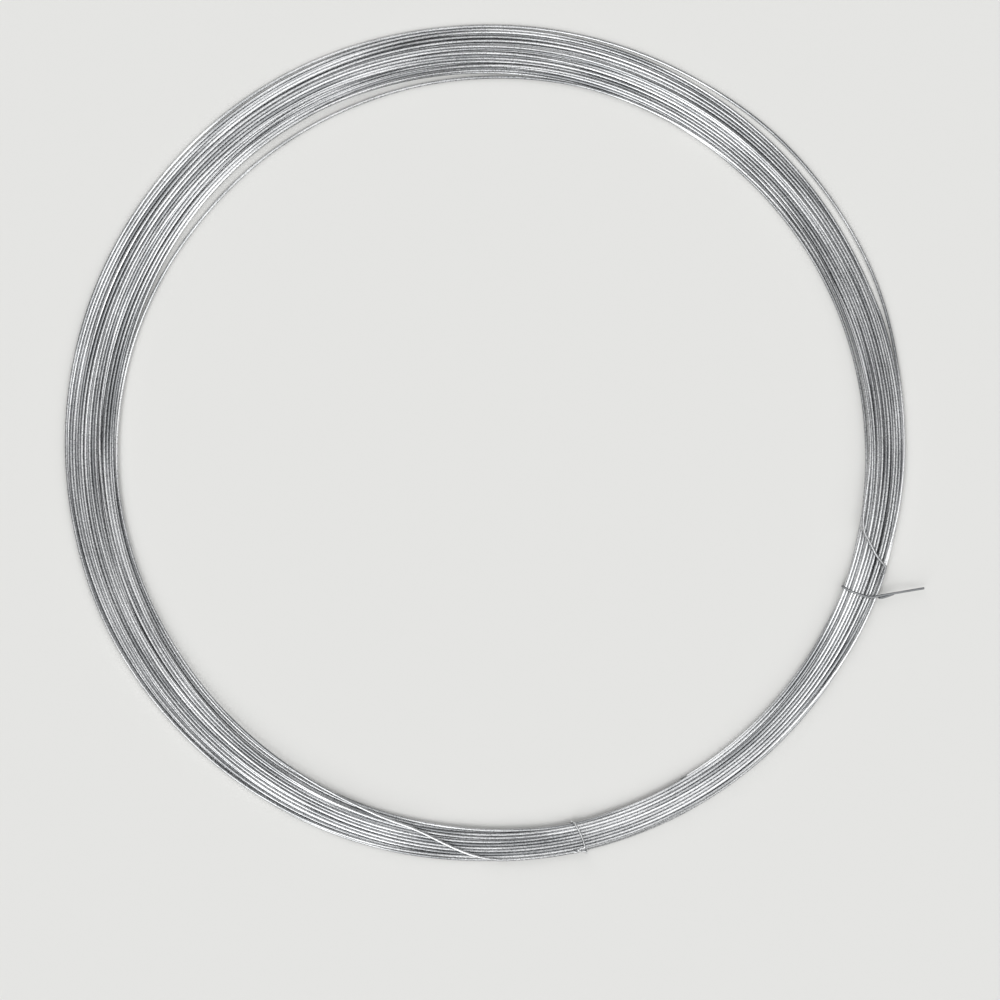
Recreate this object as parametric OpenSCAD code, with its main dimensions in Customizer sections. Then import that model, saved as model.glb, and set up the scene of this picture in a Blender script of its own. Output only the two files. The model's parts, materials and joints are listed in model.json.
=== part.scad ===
// Coil of lacing wire: galvanised steel wire wound in flat-lying turns round an open bore,
// bound by two short tie wires. The coil lies flat, with the bore's axis along +Z.

/* [Coil] */
// Diameter of the wire
wire_d = 2.2; // [1.8:0.1:2.5]
// Diameter of the open bore
coil_bore = 528; // [440:2:640]
// Mean width of the bundle of turns, across the coil
bundle_w = 36; // [32:1:42]
// How far the outside's centre lies off the bore's axis, since the ties pull one side narrow
lean = 10.5; // [0:0.5:12]
// Wires on top of each other in the bundle
layers = 3; // [3:1:5]

/* [Ties] */
// Diameter of the tie wire
tie_d = 1.6; // [1.2:0.1:2]
// Twisted length that closes the first tie
twist_l = 6; // [5:0.5:9]
// Tail left on the second tie, past the bundle's outside
tail_l = 34; // [24:1:45]
// Length of that tail that the tie's other end is twisted round
join_l = 9.5; // [8:0.5:14]

/* [Hidden] */
$fn = 120;
// the outside's centre lies this way from the bore's axis
lean_dir = 124.6;
// places of the two ties round the coil, and how far each slants from the radius
short_at = -78.2;
short_slant = 14;
tail_at = -20.7;
tail_slant = 5;
// the way the tail points, from its tie's own line
tail_turn = 25.2;
// gap between a tie and the bundle it holds
seat = 0.12;

r_in = coil_bore / 2;
r_out = r_in + bundle_w;
coil_h = layers * wire_d;
core_low = wire_d / 2;
core_high = coil_h - wire_d / 2;
turns_across = floor((bundle_w - lean) / (1.04 * wire_d));
off = lean * [cos(lean_dir), sin(lean_dir), 0];

// a tie runs in a slot under the bundle and up its inner side, so it stands out from neither
slot_h = tie_d + 2 * seat;
slot_in = tie_d + 2 * seat + 0.4;
tie_low = seat + tie_d / 2;
tie_high = coil_h + seat + tie_d / 2;
tie_in = slot_in - seat - tie_d / 2;
bend_r = tie_d / 2 + seat;
// each strand of a twisted pair lies this far off the pair's own line
pair_r = 0.57 * tie_d;

// distance from the bore's axis to the outside, in direction a
function outside(a) =
    let (k = off * [cos(a), sin(a), 0])
    k + sqrt(r_out * r_out - off * off + k * k);

// width of the bundle along a tie's own slanted line
function across(a, slant) = (outside(a) - r_in) / cos(slant);

function unit(v) = v / norm(v);

// corner cutting, which rounds a line of points
function round_once(p) = concat(
    [p[0]],
    [for (i = [0:len(p) - 2]) each [0.75 * p[i] + 0.25 * p[i + 1], 0.25 * p[i] + 0.75 * p[i + 1]]],
    [p[len(p) - 1]]);

function tangents(p) =
    [for (i = [0:len(p) - 1]) unit(p[min(i + 1, len(p) - 1)] - p[max(i - 1, 0)])];

// side vectors that follow the line without twisting about it
function sides(t, first) =
    [for (i = 0, s = unit(first - (first * t[0]) * t[0]); i < len(t);
          i = i + 1, s = i < len(t) ? unit(s - (s * t[i]) * t[i]) : s) s];

// a round wire of diameter d along the points p
module wire(p, d, n = 8) {
    t = tangents(p);
    s = sides(t, [0.31, 0.17, 0.93]);
    ring = [for (i = [0:len(p) - 1]) for (k = [0:n - 1])
        p[i] + d / 2 * (cos(360 * k / n) * s[i] + sin(360 * k / n) * cross(t[i], s[i]))];
    last = (len(p) - 1) * n;
    polyhedron(ring, concat(
        [[for (k = [n - 1:-1:0]) k]],
        [for (i = [0:len(p) - 2]) for (k = [0:n - 1])
            each [[i * n + k, i * n + (k + 1) % n, (i + 1) * n + (k + 1) % n],
                  [i * n + k, (i + 1) * n + (k + 1) % n, (i + 1) * n + k]]],
        [[for (k = [0:n - 1]) last + k]]), convexity = 6);
}

// a tie's own frame: x outwards from the bore's wall along the tie, z up
module at_tie(a, slant) {
    rotate([0, 0, a])
        translate([r_in, 0, 0])
            rotate([0, 0, slant])
                children();
}

// slot for a tie: under the bundle, and into the bore's wall
module tie_slot(a, slant) {
    w = tie_d + 0.5;
    at_tie(a, slant)
        translate([-8, -w / 2, -1]) {
            cube([across(a, slant) + 30, w, 1 + slot_h]);
            cube([8 + slot_in, w, coil_h + 4]);
        }
}

// one turn of wire on an end of the coil, from the bore (f = 0) to the outside (f = 1); its flat
// crown is what the coil lies on
module turn(f, z) {
    c = wire_d / 2;
    crown = 0.45 * c;
    translate(f * off + [0, 0, z])
        rotate_extrude()
            translate([r_in + f * bundle_w, 0])
                polygon([[-c, 0], [-crown, -c], [crown, -c], [c, 0], [crown, c], [-crown, c]]);
}

// the bundle of turns as one ring, its turns standing out as ridges on both ends
module wire_coil() {
    color([0.72, 0.73, 0.74])
        difference() {
            union() {
                translate([0, 0, core_low])
                    difference() {
                        translate(off)
                            cylinder(r = r_out, h = core_high - core_low);
                        translate([0, 0, -1])
                            cylinder(r = r_in, h = core_high + 2);
                    }
                for (i = [0:turns_across - 1]) {
                    turn((i + 0.5) / turns_across, core_low);
                    turn((i + 0.5) / turns_across, core_high);
                }
            }
            tie_slot(short_at, short_slant);
            tie_slot(tail_at, tail_slant);
        }
}

// a tie's bend round one edge of the bundle: the corner of its path at x, z, and the way it turns there
function bend(x, y, z, from, to) =
    let (cx = x + (x > 5 ? -bend_r : bend_r))
    let (cz = z + (z > coil_h / 2 ? -bend_r : bend_r))
    [for (i = [0:4])
        let (a = from + (to - from) * i / 4)
        [cx + bend_r * cos(a), y, cz + bend_r * sin(a)]];

// one strand of a twisted pair that runs from root in direction way; it winds from angle first,
// measured from side towards +Z, and the pair climbs by rise in its first quarter turn
function strand(root, way, side, l, first, wound, rise = 0) =
    [for (i = [0:15])
        let (a = wound * i / 15)
        root + l * i / 15 * way + pair_r * cos(first + a) * side
            + [0, 0, pair_r * sin(first + a) + rise * sin(min(a, 90))]];

function backwards(p) = [for (i = [len(p) - 1:-1:0]) p[i]];

// tie closed by twisting its two ends together on top of the bundle, along its outer edge
module short_tie() {
    w = across(short_at, short_slant);
    out_x = w + tie_d / 2 + seat + tie_d / 2 * tan(short_slant);
    // the twist lies in direction along; away points off the bundle
    along = [-sin(short_slant), -cos(short_slant), 0];
    away = [cos(short_slant), -sin(short_slant), 0];
    root = [w, 0, tie_high] - 1.06 * tie_d * away + 1.6 * tie_d * along;
    wound = 80 * twist_l / tie_d;
    path = concat(
        backwards(strand(root, along, away, twist_l, 0, wound, pair_r)),
        [[w - 0.35 * tie_d, -0.45 * tie_d, tie_high]],
        bend(out_x, 0, tie_high, 80, 0),
        bend(out_x, 0, tie_low, 0, -90),
        [[w * 0.75, 0, tie_low], [w * 0.45, 0, tie_low]],
        bend(tie_in, 0, tie_low, 270, 180),
        bend(tie_in, 0, tie_high, 180, 90),
        [[w * 0.17, 1.4, tie_high], [w * 0.3, 2.1, tie_high], [w * 0.5, 2.2, tie_high]],
        [[w * 0.68, 1.9, tie_high], [w * 0.82, 1, tie_high], [w - 1.9 * tie_d, 0.3 * tie_d, tie_high]],
        [[w - 1.6 * tie_d, -0.25 * tie_d, tie_high], [w - 1.72 * tie_d, -0.75 * tie_d, tie_high]],
        strand(root, along, away, twist_l, 180, wound, pair_r));
    color([0.66, 0.67, 0.68])
        at_tie(short_at, short_slant)
            wire(round_once(path), tie_d);
}

// tie whose two ends are twisted together outside the bundle, with one of them left as a free tail
module tailed_tie() {
    w = across(tail_at, tail_slant);
    out_x = w + tie_d / 2 + seat + tie_d / 2 * tan(tail_slant);
    way = [cos(tail_turn), sin(tail_turn), 0];
    side = [-sin(tail_turn), cos(tail_turn), 0];
    pair_low = tie_high - 2 * pair_r;
    root = [w, 0, tie_high - pair_r] + 1.5 * tie_d * way;
    path = concat(
        [[w, 0, pair_low - 0.5] + tail_l * way],
        backwards(strand(root, way, side, join_l, 90, 540)),
        [[w * 0.985, -0.2, tie_high], [w * 0.89, -1.4, tie_high], [w * 0.8, -2.2, tie_high]],
        [[w * 0.7, -2.5, tie_high], [w * 0.55, -2.35, tie_high], [w * 0.4, -2, tie_high]],
        [[w * 0.2, -1.3, tie_high]],
        bend(tie_in, 0, tie_high, 90, 180),
        bend(tie_in, 0, tie_low, 180, 270),
        [[w * 0.45, 0, tie_low], [w * 0.75, 0, tie_low]],
        bend(out_x, 0, tie_low, 270, 360),
        [[out_x, 0, coil_h * 0.55], [out_x + 0.06 * tie_d, 0.03 * tie_d, pair_low - 0.67 * tie_d]],
        [[out_x + 0.31 * tie_d, 0.26 * tie_d, pair_low - 0.2 * tie_d]],
        strand(root, way, side, join_l, 270, 540));
    color([0.66, 0.67, 0.68])
        at_tie(tail_at, tail_slant)
            wire(round_once(path), tie_d);
}

wire_coil();
short_tie();
tailed_tie();
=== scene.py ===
"""Coil of lacing wire: one length of galvanised wire in loose turns, bound by two wire ties."""
import json
import math

import bpy
import numpy as np
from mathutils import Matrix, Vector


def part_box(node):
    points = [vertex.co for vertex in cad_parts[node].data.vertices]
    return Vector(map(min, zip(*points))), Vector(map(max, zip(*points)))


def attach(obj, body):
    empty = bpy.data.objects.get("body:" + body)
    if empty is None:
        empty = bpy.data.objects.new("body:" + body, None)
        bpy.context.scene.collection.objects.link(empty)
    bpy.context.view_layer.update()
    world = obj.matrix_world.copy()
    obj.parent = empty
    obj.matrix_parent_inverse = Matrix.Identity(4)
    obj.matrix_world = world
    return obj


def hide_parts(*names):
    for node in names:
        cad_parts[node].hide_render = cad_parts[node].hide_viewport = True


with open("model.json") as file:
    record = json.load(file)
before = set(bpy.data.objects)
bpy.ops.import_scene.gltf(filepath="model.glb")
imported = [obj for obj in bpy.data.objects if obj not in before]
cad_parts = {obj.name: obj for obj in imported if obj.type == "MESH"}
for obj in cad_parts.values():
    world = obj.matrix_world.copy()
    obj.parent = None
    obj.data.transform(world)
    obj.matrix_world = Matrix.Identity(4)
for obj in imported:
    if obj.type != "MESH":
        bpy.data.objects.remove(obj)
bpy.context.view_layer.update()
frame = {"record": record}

# Lacing wire. One length of galvanised steel wire, about 50 m, wound back and forth across a former in
# three layers and slipped off it. The turns have settled on each other: spread where nothing holds them,
# tight at the ties. The last turn runs loose on top until its end is caught in the short tie.

# seat is the gap between a tie and the wires that it holds; stations are the points on each turn
wire_d = 0.0022
tie_d = 0.0016
seat = 0.0002
turns = 28
layers = 3
stations = 270

# places round the coil, here and below, are degrees from +X towards +Y; the winding starts at first_deg
first_deg = 300
short_tie_deg = 281.8
tailed_tie_deg = 339.3
degs = first_deg + 360 * np.arange(stations) / stations
angles = np.radians(degs)

bore = next(mount for mount in frame["record"]["mounts"] if mount["name"] == "coil_bore")
bore_r = bore["dims"]["r_mm"] / 1000
coil_low, coil_high = (np.array(corner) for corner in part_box("wire_coil"))
outer_r = (coil_high[0] - coil_low[0]) / 2
outer_c = ((coil_low + coil_high) / 2)[:2]


def hump(place, width, flat=2):
    """A smooth rise to 1 at one place round the coil, for every station; a larger flat squares it."""
    away = np.abs((degs - place + 180) % 360 - 180)
    return np.exp(-(away / width) ** flat)


def ease(share):
    """A soft start and end for a crossing that runs from 0 to 1."""
    share = np.clip(share, 0, 1)
    return share * share * (3 - 2 * share)


def smooth(values, half):
    """Each value as a soft mean over the points before and after it along the wire."""
    taps = np.hanning(2 * half + 3)[1:-1]
    line = np.pad(values.ravel(), half, mode="reflect", reflect_type="odd")
    return np.convolve(line, taps / taps.sum(), "valid").reshape(values.shape)


# the room that the bundle has at every station, out from the bore's axis: the rim isn't quite round, the
# bundle stands back from it beside a loose stretch, and the innermost turns lie off the bore's wall
reach = np.cos(angles) * outer_c[0] + np.sin(angles) * outer_c[1]
round_rim = reach + np.sqrt(outer_r**2 - outer_c @ outer_c + reach**2) - wire_d / 2
bulges = 0.0009 * hump(60, 12) + 0.0012 * hump(205, 12) + 0.001 * hump(308, 14)
flats = 0.0017 * hump(98, 18) + 0.0014 * hump(268, 12)
rim = round_rim + bulges - flats
loose_stretch = hump(36, 20, flat=4)
bundle_out = rim - 0.0036 * loose_stretch
spread_in = 0.002 - 0.0015 * hump(10, 28) + 0.0085 * hump(122, 50) + 0.0009 * hump(292, 30)
pinched = 0.0018 * hump(short_tie_deg, 9) + 0.0014 * hump(tailed_tie_deg, 7)
bundle_in = bore_r + spread_in + pinched + wire_d / 2

# the lowest turns lie on the floor, and on the ties where these pass underneath
on_ties = np.maximum(hump(short_tie_deg, 5), hump(tailed_tie_deg, 5))
ground = (tie_d + 2 * seat) * on_ties + wire_d / 2

# the winding goes out, back and out again; several times a turn it wanders from its lay by a small share
# of the bundle's width, least where the ties hold it
rng = np.random.default_rng(7)
wander_every = 0.22
wander_share = 0.09
wound = np.arange(turns * stations) / stations
lay = np.abs((layers * wound / turns + 1) % 2 - 1)
knots = np.arange(-1, turns + 1, wander_every)
wander = np.interp(wound, knots, rng.normal(0, wander_share, len(knots))).reshape(turns, stations)
wander *= 0.2 + 0.8 * hump(110, 80)
across = np.clip(0.03 + 0.94 * lay.reshape(turns, stations) + wander, 0, 1)
wanted = bundle_in + across * (bundle_out - bundle_in)

# the last turn but one swings out to the rim and stands off the rest for a stretch; towards its end it
# makes room at the rim, where the last turn comes to lie beside it
loose_rim = rim + 0.0031 * loose_stretch
swung = ease((degs - 310) / 50)
tucked = wire_d * ease((degs - 585) / 40)
wanted[-2] += swung * (loose_rim - tucked - wanted[-2])

# the last turn starts one wire in from the rim, crosses over to the bore, runs loose there and crosses back
# to the rim; its way along the bore is given as degrees and millimetres from the bore's wall
bore_way = [(350, 2.8), (353, 2.6), (356, 3.6), (360, 4.6), (370, 4.9), (424, 5.8), (436, 6.5), (443, 6.1),
            (451, 5.4), (461, 4.8), (475, 4.0), (500, 3.8), (511, 4.6), (523, 5.2), (545, 5.0), (560, 2.8),
            (572, 1.4), (588, 1.4), (599, 2.2), (606, 3.2), (612, 5.5), (616, 7.6)]
bore_line = bore_r + smooth(np.interp(degs, *np.array(bore_way).T), 3) / 1000
crossing_in = np.interp(degs, [344, 345.3, 348, 349.5, 351], [0, 0.37, 0.85, 0.97, 1])
crossing_back = ease((degs - 616) / 15.5)
in_from_rim = wire_d * ease((337 - degs) / 22)
last_r = rim - in_from_rim + (crossing_in - crossing_back) * (bore_line - rim)
end_deg = 643.3


def settle(steps=700, calm_steps=200, stiff_span=12):
    """Lets the stacked turns fall on each other, kept apart by their thickness and even by stiffness."""
    # in each step the turns fall, in wire diameters, go back a share of the way to their lay, lose a share
    # of their bends, and are pushed apart by a share of what they lie into each other
    fall = 0.035
    last_fall = 0.002
    pull = 0.03
    straighten_r = 0.3
    straighten_z = 0.5
    give = 0.3
    touch = 1.01 * wire_d
    stack = turns - 1
    r = wanted[:stack].copy()
    z = ground + wire_d / 2 * wound.reshape(turns, stations)[:stack]
    other = ~np.eye(stack, dtype=bool)[:, :, None]
    for step in range(steps):
        calm = min(1, (steps - step) / calm_steps)
        z -= (fall * calm + last_fall) * wire_d
        r += pull * calm * (wanted[:stack] - r)
        r += straighten_r * (smooth(r, stiff_span) - r)
        z += straighten_z * (smooth(z, stiff_span) - z)
        r[-1] += swung * (wanted[stack - 1] - r[-1])
        for _ in range(3):
            dr = r[:, None] - r[None]
            dz = z[:, None] - z[None]
            apart = np.sqrt(dr * dr + dz * dz) + 1e-9
            push = np.where(other, np.maximum(touch - apart, 0), 0) * give / apart
            r += smooth((push * dr).sum(axis=1), stiff_span // 2)
            z += (push * dz).sum(axis=1)
            r[:-1] = np.clip(r[:-1], bundle_in, bundle_out)
            z = np.maximum(z, ground)
    return r, z


def lie_over(r, z, steps=400, fall=0.002, stiff_span=5):
    """Heights of the last turn, which rests on the settled ones and bridges the gaps between them."""
    beside = np.abs(last_r - r)
    lift = np.sqrt(np.maximum(wire_d**2 - beside**2, 0))
    on_top = np.where(beside < wire_d, z + lift, 0).max(axis=0)
    rest = np.maximum(on_top, ground)
    height = rest.copy()
    for _ in range(steps):
        height = np.maximum(smooth(height, stiff_span) - fall * wire_d, rest)
    return height


stack_r, stack_z = settle()
wire_r = np.vstack([stack_r, last_r])
wire_z = np.vstack([stack_z, lie_over(stack_r, stack_z)])
laid = np.ones((turns, stations), bool)
laid[-1] = degs <= end_deg
wire_line = np.stack([wire_r * np.cos(angles), wire_r * np.sin(angles), wire_z], axis=-1)[laid]


def distances(line):
    """How far along a line of points each of them lies."""
    return np.concatenate([[0], np.cumsum(np.linalg.norm(np.diff(line, axis=0), axis=1))])


def tube(name, line, diameter, sides):
    """A round wire with cut ends along a line of points; its UV map runs round it and metres along it."""
    along = np.gradient(line, axis=0)
    along /= np.linalg.norm(along, axis=1)[:, None]
    # the sides are carried along without twisting, from a first direction that no wire here runs in
    side = np.empty_like(along)
    carried = np.array([0.31, 0.17, 0.93])
    for point, way in enumerate(along):
        carried = carried - (carried @ way) * way
        carried = carried / np.linalg.norm(carried)
        side[point] = carried
    turned = 2 * math.pi * np.arange(sides)[:, None] / sides
    ring = np.cos(turned) * side[:, None] + np.sin(turned) * np.cross(along, side)[:, None]
    points = (line[:, None] + diameter / 2 * ring).reshape(-1, 3)
    ring_no = np.repeat(np.arange(len(line) - 1), sides)
    side_no = np.tile(np.arange(sides), len(line) - 1)
    near = ring_no * sides
    after = (side_no + 1) % sides
    walls = np.stack([near + side_no, near + after, near + sides + after, near + sides + side_no], axis=1)
    last_ring = (len(line) - 1) * sides
    ends = [list(range(sides))[::-1], list(range(last_ring, last_ring + sides))]
    mesh = bpy.data.meshes.new(name)
    mesh.from_pydata(points.tolist(), [], walls.tolist() + ends)
    mesh.polygons.foreach_set("use_smooth", [True] * len(walls) + [False] * 2)
    far = distances(line)
    round_uv = np.stack([side_no, side_no + 1, side_no + 1, side_no], axis=1) / sides
    along_uv = np.stack([far[ring_no], far[ring_no], far[ring_no + 1], far[ring_no + 1]], axis=1)
    wall_uv = np.stack([round_uv, along_uv], axis=-1).reshape(-1)
    end_uv = np.zeros(4 * sides)
    mesh.uv_layers.new(name="along").data.foreach_set("uv", np.concatenate([wall_uv, end_uv]))
    piece = bpy.data.objects.new(name, mesh)
    bpy.context.collection.objects.link(piece)
    return piece


def linear(hex_colour):
    """A colour written as sRGB hex, as the linear values that Blender shades with."""
    parts = [int(hex_colour[i:i + 2], 16) / 255 for i in (1, 3, 5)]
    return [c / 12.92 if c <= 0.04045 else ((c + 0.055) / 1.055) ** 2.4 for c in parts] + [1]


def node(material, kind, inputs, **settings):
    """Adds a shader node; each input, by name or number, takes a value or another node's output."""
    made = material.node_tree.nodes.new(kind)
    for name, value in settings.items():
        setattr(made, name, value)
    for name, value in inputs.items():
        if isinstance(value, bpy.types.NodeSocket):
            material.node_tree.links.new(value, made.inputs[name])
        else:
            made.inputs[name].default_value = value
    return made


def zinc(name, dull, bright, rough):
    """Hot-dipped zinc on drawn wire: grey metal, brighter and duller in stretches, with a fine grain."""
    # the dip leaves stretches of about 140 mm, 7 to the metre; the grain of the coat is too fine to show,
    # so it is drawn about 1.1 mm wide, 900 to the metre
    stretches_per_m = 7
    grains_per_m = 900
    material = bpy.data.materials.new(name)
    material.use_nodes = True
    shader = material.node_tree.nodes["Principled BSDF"]
    place = node(material, "ShaderNodeTexCoord", {})
    along = node(material, "ShaderNodeSeparateXYZ", {"Vector": place.outputs["UV"]})
    stretch = node(material, "ShaderNodeTexNoise", {
        "W": along.outputs["Y"], "Scale": stretches_per_m, "Detail": 3}, noise_dimensions="1D")
    grain = node(material, "ShaderNodeTexNoise", {
        "Vector": place.outputs["Object"], "Scale": grains_per_m, "Detail": 2})
    blend = node(material, "ShaderNodeMix", {
        "Factor": 0.3, "A": stretch.outputs["Fac"], "B": grain.outputs["Fac"]})
    tone = node(material, "ShaderNodeMapRange", {
        "Value": blend.outputs["Result"], "From Min": 0.38, "From Max": 0.62})
    # a mix node's colours are its inputs 6 and 7 and its output 2
    colour = node(material, "ShaderNodeMix", {
        "Factor": tone.outputs["Result"], 6: linear(dull), 7: linear(bright)}, data_type="RGBA")
    gloss = node(material, "ShaderNodeMapRange", {
        "Value": grain.outputs["Fac"], "From Min": 0.3, "From Max": 0.7,
        "To Min": rough - 0.05, "To Max": rough + 0.06})
    bump = node(material, "ShaderNodeBump", {
        "Height": grain.outputs["Fac"], "Strength": 0.2, "Distance": 0.00015})
    link = material.node_tree.links.new
    link(colour.outputs[2], shader.inputs["Base Color"])
    link(gloss.outputs["Result"], shader.inputs["Roughness"])
    link(bump.outputs["Normal"], shader.inputs["Normal"])
    shader.inputs["Metallic"].default_value = 1
    return material


# galvanised steel, wiped as it leaves the bath: clear bright lines along the wires, broken up by the grain,
# and wires that differ in tone where a dull stretch lies beside a bright one
lacing_wire = tube("lacing_wire", wire_line, wire_d, 10)
lacing_wire.data.materials.append(zinc("galvanised_steel", "#959799", "#edeeef", 0.3))
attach(lacing_wire, "root")
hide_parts("wire_coil")

# Short tie. A short length of thin, bright galvanised wire drawn tight round the bundle, its two ends
# twisted together on top and laid along the outer edge. It holds the last turn's end.

# the tie slants from the coil's radius; its ends turn by twist_per_d degrees for each diameter of length,
# and each strand of the pair lies pair_r off the pair's own line
short_slant = math.radians(14)
twist_l = 0.006
twist_per_d = 80
pair_r = 0.57 * tie_d
pair_points = 28
up = np.array([0, 0, 1])


def crossed(deg, slant):
    """The wires that a tie crosses, as distances out from the bore's wall along the tie, and heights."""
    station = np.argmin(np.abs((degs - deg + 180) % 360 - 180))
    here = laid[:, station]
    return np.stack([(wire_r[here, station] - bore_r) / math.cos(slant), wire_z[here, station]], axis=1)


def hull_side(points):
    """The lower side of the convex hull of points that are sorted from left to right."""
    side = []
    for x, z in points:
        while len(side) > 1:
            (x0, z0), (x1, z1) = side[-2:]
            if (x1 - x0) * (z - z0) > (z1 - z0) * (x - x0):
                break
            side.pop()
        side.append((x, z))
    return side[:-1]


def even(line, step):
    """The same line with its points one step apart."""
    far = distances(line)
    places = np.linspace(0, far[-1], int(far[-1] / step) + 1)
    return np.stack([np.interp(places, far, column) for column in line.T], axis=1)


def taut_loop(wires, slant, step=0.0008):
    """A tie's line drawn tight round the wires, from its outermost point over the top and back below."""
    turned = np.linspace(0, 2 * math.pi, 32, endpoint=False)
    clear = (wire_d + tie_d) / 2 + seat
    rounds = wires[:, None] + clear * np.stack([np.cos(turned) / math.cos(slant), np.sin(turned)], axis=1)
    points = sorted(map(tuple, rounds.reshape(-1, 2)))
    loop = np.array(hull_side(points) + hull_side(points[::-1]))
    loop = np.roll(loop, -np.argmax(loop[:, 0]), axis=0)
    return even(np.vstack([loop, loop[:1]]), step)


def bowed(loop, bow, rise=0.003):
    """A loop whose top bows sideways: pairs of a share of the bundle's width and millimetres aside."""
    middle = (loop[:, 1].min() + loop[:, 1].max()) / 2
    aside = smooth(np.interp(loop[:, 0] / loop[:, 0].max(), *np.array(bow).T), 4) / 1000
    aside *= ease((loop[:, 1] - middle) / rise)
    return np.stack([loop[:, 0], aside, loop[:, 1]], axis=1)


def strand(root, way, side, length, first, twist, rise):
    """One strand of a twisted pair, wound from angle first; the pair climbs in its first quarter turn."""
    share = np.linspace(0, 1, pair_points)[:, None]
    turned = np.radians(first + twist * share)
    height = pair_r * np.sin(turned) + rise * np.sin(np.radians(np.minimum(twist * share, 90)))
    return root + length * share * way + pair_r * np.cos(turned) * side + height * up


def in_coil(deg, slant, line, step=0.0005):
    """A tie's own points, out along it, aside and up, in the coil's frame and eased round its bends."""
    line = np.stack([smooth(column, 1) for column in even(np.array(line), step).T], axis=1)
    wall = math.radians(deg)
    out = wall + slant
    x = bore_r * math.cos(wall) + line[:, 0] * math.cos(out) - line[:, 1] * math.sin(out)
    y = bore_r * math.sin(wall) + line[:, 0] * math.sin(out) + line[:, 1] * math.cos(out)
    return np.stack([x, y, line[:, 2]], axis=1)


short_bow = [(0.05, 0), (0.17, 1.4), (0.3, 2.1), (0.5, 2.2), (0.68, 1.9), (0.82, 1.0), (0.9, 0.5)]
short_loop = taut_loop(crossed(short_tie_deg, short_slant), short_slant)
short_edge = short_loop[:, 0].max() - tie_d / 2 - seat
short_top = short_loop[:, 1].max()
short_round = bowed(short_loop, short_bow)

# the pair runs along the edge; one strand comes up over the edge, the other in a hook from the top; their
# places, in from the edge and along it, are in diameters of the tie
twist_along = np.array([-math.sin(short_slant), -math.cos(short_slant), 0])
twist_away = np.array([math.cos(short_slant), -math.sin(short_slant), 0])
twist_root = np.array([short_edge, 0, short_top]) - 1.06 * tie_d * twist_away + 1.6 * tie_d * twist_along
twist = twist_per_d * twist_l / tie_d
edge_strand = strand(twist_root, twist_along, twist_away, twist_l, 0, twist, pair_r)
top_strand = strand(twist_root, twist_along, twist_away, twist_l, 180, twist, pair_r)
near_edge = (short_edge - 0.35 * tie_d, -0.45 * tie_d, short_top)
hook = [(short_edge - back * tie_d, aside * tie_d, short_top)
        for back, aside in ((1.9, 0.3), (1.6, -0.25), (1.72, -0.75))]
over_edge = np.argmax(short_loop[:, 0] < short_edge)
before_hook = np.argmax(short_loop[:, 0] < short_edge - 2.4 * tie_d)
short_line = np.vstack([edge_strand[::-1], near_edge, short_round[1:over_edge][::-1],
                        short_round[before_hook:][::-1], hook, top_strand])

# bright zinc: as the lacing wire, but more even in tone, so that the tie stands out from the wires below
short_tie = tube("short_tie_wire", in_coil(short_tie_deg, short_slant, short_line), tie_d, 12)
short_tie.data.materials.append(zinc("bright_zinc_wire", "#a5a7a9", "#edeeef", 0.3))
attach(short_tie, "root")
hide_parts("short_tie")

# Tailed tie. A thin, weathered galvanised wire drawn once round the bundle. One end comes off the top and
# runs on outwards as a free tail; the other comes up from underneath and lies beside the tail's start.

# the tail points tail_turn away from the tie's own line; over join_l the other end lies beside it
tail_slant = math.radians(5)
tail_turn = math.radians(25.2)
tail_l = 0.034
join_l = 0.0095
tail_bow = [(0.05, 0), (0.2, -1.3), (0.4, -2), (0.55, -2.35), (0.7, -2.5), (0.8, -2.2), (0.89, -1.4),
            (0.96, -0.4)]
tail_loop = taut_loop(crossed(tailed_tie_deg, tail_slant), tail_slant)
tail_out = tail_loop[:, 0].max()
tail_edge = tail_out - tie_d / 2 - seat
tail_top = tail_loop[:, 1].max()
tail_round = bowed(tail_loop, tail_bow)

# the tail sinks by about 2 mm on its way out; the pair starts one and a half diameters off the edge
tail_way = np.array([math.cos(tail_turn), math.sin(tail_turn), 0])
tail_side = np.array([-math.sin(tail_turn), math.cos(tail_turn), 0])
pair_low = tail_top - 2 * pair_r
tail_root = np.array([tail_edge, 0, tail_top - 0.0003])
tail_end = np.array([tail_edge, 0, pair_low - 0.0005]) + tail_l * tail_way
join_start = 1.5 * tie_d / tail_l
joined = np.linspace(join_start, join_start + join_l / tail_l, pair_points)[:, None]
tail_strand = tail_root + joined * (tail_end - tail_root)

# the other strand starts beside the tail, at beside_deg round it, and winds under it by wind_deg
beside_deg = 195
wind_deg = 60
round_tail = np.radians(beside_deg + wind_deg * np.linspace(0, 1, pair_points))[:, None]
beside_strand = tail_strand + 2 * pair_r * (np.cos(round_tail) * tail_side + np.sin(round_tail) * up)

# the loop leaves the bundle's top before the edge, and climbs from underneath to the other strand
leaves_top = np.argmax(tail_loop[:, 0] < 0.94 * tail_edge)
held = tail_round[leaves_top:]
held = held[(held[:, 0] < tail_edge) | (held[:, 2] < pair_low - tie_d)]
climb = [(tail_out + out * tie_d, aside * tie_d, pair_low - down * tie_d)
         for out, aside, down in ((0.08, -0.15, 0.67), (0.42, -0.4, 0.1))]
tail_line = np.vstack([tail_end, tail_strand[::-1], held, climb, beside_strand])

# dull zinc, weathered to a matt grey: it shines little, so that the tie looks dark on the bright wires
tailed_tie = tube("tailed_tie_wire", in_coil(tailed_tie_deg, tail_slant, tail_line), tie_d, 12)
tailed_tie.data.materials.append(zinc("dull_zinc_wire", "#6a6c6e", "#9b9d9f", 0.5))
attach(tailed_tie, "root")
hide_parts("tailed_tie")

# Floor. A plain sheet of pale studio paper that the coil lies on, wide enough to fill every view. Its matt
# surface takes the coil's soft shadow.

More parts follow.
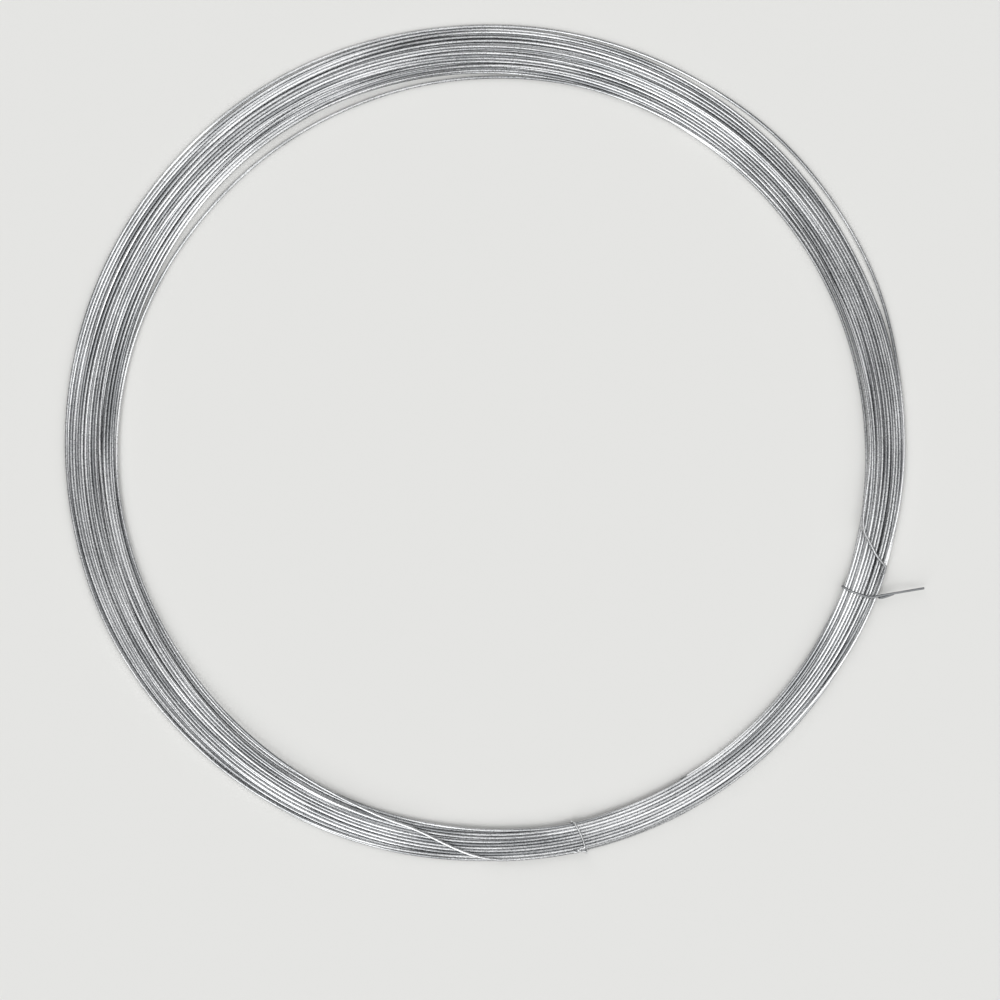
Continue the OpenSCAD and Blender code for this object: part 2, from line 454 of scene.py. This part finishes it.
floor_half = 6
corners = [(-1, -1), (1, -1), (1, 1), (-1, 1)]
floor_mesh = bpy.data.meshes.new("floor")
floor_mesh.from_pydata([(x * floor_half, y * floor_half, 0) for x, y in corners], [], [(0, 1, 2, 3)])
floor = bpy.data.objects.new("floor", floor_mesh)
bpy.context.collection.objects.link(floor)
paper = bpy.data.materials.new("pale_paper")
paper.use_nodes = True
paper_shader = paper.node_tree.nodes["Principled BSDF"]
paper_shader.inputs["Base Color"].default_value = linear("#dededc")
paper_shader.inputs["Roughness"].default_value = 0.9
floor_mesh.materials.append(paper)

# Light. Tall soft lamps far off on three sides, each one round lamp above another, whose reflections run
# along the wires. They stand in a plain room.

lamp_spread = math.radians(30)
for place, lamp_deg, strength in (("left", 240, 0.7), ("right", 331, 0.58), ("back", 118, 0.32)):
    for level, lean_deg in (("high", 32), ("low", 60)):
        lamp = bpy.data.lights.new(f"{place}_{level}_lamp", "SUN")
        lamp.angle = lamp_spread
        lamp.energy = strength
        lamp_stand = bpy.data.objects.new(lamp.name, lamp)
        lamp_stand.rotation_euler = (math.radians(lean_deg), 0, math.radians(lamp_deg + 90))
        bpy.context.collection.objects.link(lamp_stand)

# the room's pale ceiling shines on the crowns of the wires, its dimmer walls leave their sides darker
room = bpy.data.worlds.new("room")
room.use_nodes = True
bpy.context.scene.world = room
looking = node(room, "ShaderNodeTexCoord", {})
rising = node(room, "ShaderNodeSeparateXYZ", {"Vector": looking.outputs["Generated"]})
shine = node(room, "ShaderNodeMapRange", {
    "Value": rising.outputs["Z"], "From Min": 0.5, "From Max": 0.9, "To Min": 0.06, "To Max": 0.7})
room_light = room.node_tree.nodes["Background"]
room_light.inputs["Color"].default_value = (1, 1, 1, 1)
room.node_tree.links.new(shine.outputs["Result"], room_light.inputs["Strength"])

# Camera. It looks straight down through a long lens, as in the photograph, and frames view_width metres
# round view_centre, at the height of the coil's top.

view_centre = (0.0047, -0.0323)
view_width = 0.7126
camera_height = 2.4
camera_data = bpy.data.cameras.new("camera")
camera_data.sensor_width = 36
camera_data.lens = camera_data.sensor_width * (camera_height - coil_high[2]) / view_width
camera = bpy.data.objects.new("camera", camera_data)
camera.location = (*view_centre, camera_height)
bpy.context.collection.objects.link(camera)
bpy.context.scene.camera = camera
bpy.context.scene.view_settings.view_transform = "Standard"
